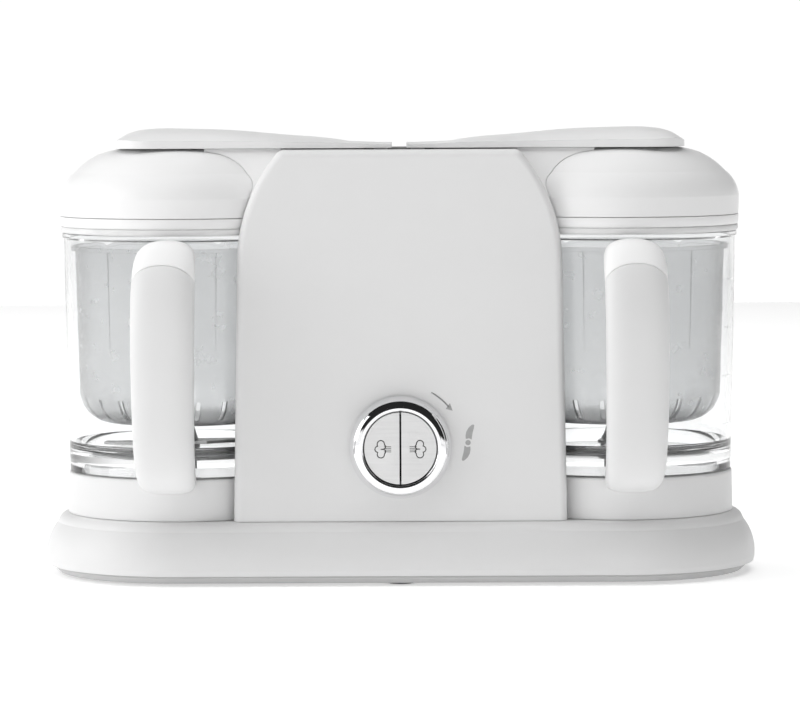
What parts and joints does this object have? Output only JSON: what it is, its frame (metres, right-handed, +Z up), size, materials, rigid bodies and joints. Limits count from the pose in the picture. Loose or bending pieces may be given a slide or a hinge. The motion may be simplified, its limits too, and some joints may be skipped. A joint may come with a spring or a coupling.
{
  "type": "baby food maker",
  "caption": "Countertop baby food steamer and blender: tower with a turn-and-press control, clear handled bowls with steam baskets and blades, and wing-shaped hinged lids.",
  "frame": {"origin": "on the table under the middle of the overall box", "axes": "+X to the user's right along the longest extent, +Z up, -Y towards the user"},
  "size_m": [0.385, 0.1784, 0.2404],
  "materials": {
    "white_shell": "fine satin white",
    "white_lid": "smooth satin white",
    "white_handle": "soft-touch white",
    "pale_tray": "light grey",
    "grey_plastic": "moulded grey",
    "dark_plastic": "moulded dark grey",
    "tank_plastic": "natural plastic",
    "foot_rubber": "grippy",
    "seal_rubber": "white silicone",
    "belt_rubber": "fine ribbed",
    "steel": "machined",
    "blade_steel": "ground steel",
    "brass": "turned",
    "circuit_board": "solder mask",
    "chrome": "polished",
    "satin_silver": "fine satin silver",
    "clear_bowl": "clear moulded plastic",
    "milky_basket": "milky translucent plastic"
  },
  "bodies": {
    "stand": {"base_shell": "white_shell", "bottom_tray": "pale_tray", "rubber_feet": "foot_rubber", "tray_screws": "steel", "left_pedestal": "white_shell", "right_pedestal": "white_shell", "bearing_bushes": "brass", "tower_front_cover": "white_shell", "tower_rear_cover": "white_shell", "cord_gland": "dark_plastic", "hinge_bracket": "grey_plastic", "hinge_pins": "steel", "water_tanks": "tank_plastic", "heater_plates": "steel", "filler_gaskets": "seal_rubber", "motors": "steel", "motor_plate": "steel", "control_board": "circuit_board", "microswitches": "dark_plastic", "button_guide": "grey_plastic", "drive_belts": "belt_rubber", "button_springs": "steel"},
    "knob": {"knob_ring": "chrome", "knob_carrier": "dark_plastic"},
    "left_lid": {"left_arm_plate": "white_lid", "left_arm_floor": "white_lid", "left_steam_duct": "white_lid", "left_dome": "white_lid", "left_lid_rim": "white_lid", "left_lid_gasket": "seal_rubber", "left_steam_diffuser": "white_lid"},
    "left_bowl_set": {"left_bowl": "clear_bowl", "left_steam_basket": "milky_basket", "left_handle": "white_handle"},
    "left_blade_unit": {"left_blade_hub": "dark_plastic", "left_blade": "blade_steel"},
    "left_drive": {"left_drive_pulley": "dark_plastic", "left_drive_shaft": "steel", "left_drive_dog": "dark_plastic"},
    "left_rotor": {"left_motor_shaft": "steel", "left_motor_pulley": "dark_plastic"},
    "left_button": {"left_button": "satin_silver"},
    "right_lid": {"right_arm_plate": "white_lid", "right_arm_floor": "white_lid", "right_steam_duct": "white_lid", "right_dome": "white_lid", "right_lid_rim": "white_lid", "right_lid_gasket": "seal_rubber", "right_steam_diffuser": "white_lid"},
    "right_bowl_set": {"right_bowl": "clear_bowl", "right_steam_basket": "milky_basket", "right_handle": "white_handle"},
    "right_blade_unit": {"right_blade_hub": "dark_plastic", "right_blade": "blade_steel"},
    "right_drive": {"right_drive_pulley": "dark_plastic", "right_drive_shaft": "steel", "right_drive_dog": "dark_plastic"},
    "right_rotor": {"right_motor_shaft": "steel", "right_motor_pulley": "dark_plastic"},
    "right_button": {"right_button": "satin_silver"}
  },
  "joints": [
    {"name": "left_lid_hinge", "type": "hinge", "parent": "stand", "child": "left_lid", "pos_m": [-0.01, 0.0147, 0.2248], "axis": [0, 1, 0], "range_deg": [0, 80]},
    {"name": "left_bowl_twist", "type": "hinge", "parent": "stand", "child": "left_bowl_set", "pos_m": [-0.118, 0.0147, 0.0563], "axis": [0, 0, 1], "range_deg": [-25, 0]},
    {"name": "left_drive_spin", "type": "hinge", "parent": "stand", "child": "left_drive", "pos_m": [-0.118, 0.0147, 0.0233], "axis": [0, 0, 1], "continuous": true},
    {"name": "left_blade_spin", "type": "hinge", "parent": "left_bowl_set", "child": "left_blade_unit", "pos_m": [-0.118, 0.0147, 0.0693], "axis": [0, 0, 1], "continuous": true},
    {"name": "left_motor_spin", "type": "hinge", "parent": "stand", "child": "left_rotor", "pos_m": [-0.027, 0.0247, 0.0233], "axis": [0, 0, 1], "continuous": true},
    {"name": "left_button_press", "type": "slide", "parent": "stand", "child": "left_button", "axis": [0, 1, 0], "range_m": [0, 0.0018], "stiffness_N_per_m": 400},
    {"name": "right_lid_hinge", "type": "hinge", "parent": "stand", "child": "right_lid", "pos_m": [0.01, 0.0147, 0.2248], "axis": [0, -1, 0], "range_deg": [0, 80]},
    {"name": "right_bowl_twist", "type": "hinge", "parent": "stand", "child": "right_bowl_set", "pos_m": [0.118, 0.0147, 0.0563], "axis": [0, 0, 1], "range_deg": [0, 25]},
    {"name": "right_drive_spin", "type": "hinge", "parent": "stand", "child": "right_drive", "pos_m": [0.118, 0.0147, 0.0233], "axis": [0, 0, 1], "continuous": true},
    {"name": "right_blade_spin", "type": "hinge", "parent": "right_bowl_set", "child": "right_blade_unit", "pos_m": [0.118, 0.0147, 0.0693], "axis": [0, 0, 1], "continuous": true},
    {"name": "right_motor_spin", "type": "hinge", "parent": "stand", "child": "right_rotor", "pos_m": [0.027, 0.0247, 0.0233], "axis": [0, 0, 1], "continuous": true},
    {"name": "right_button_press", "type": "slide", "parent": "stand", "child": "right_button", "axis": [0, 1, 0], "range_m": [0, 0.0018], "stiffness_N_per_m": 400},
    {"name": "knob_turn", "type": "hinge", "parent": "stand", "child": "knob", "pos_m": [0, -0.0488, 0.0728], "axis": [0, 1, 0], "range_deg": [0, 35], "stiffness_Nm_per_rad": 0.12}
  ],
  "couplings": [
    {"joint": "left_blade_spin", "follows": "left_drive_spin", "ratio": 1},
    {"joint": "left_motor_spin", "follows": "left_drive_spin", "ratio": 3},
    {"joint": "right_blade_spin", "follows": "right_drive_spin", "ratio": 1},
    {"joint": "right_motor_spin", "follows": "right_drive_spin", "ratio": 3}
  ]
}
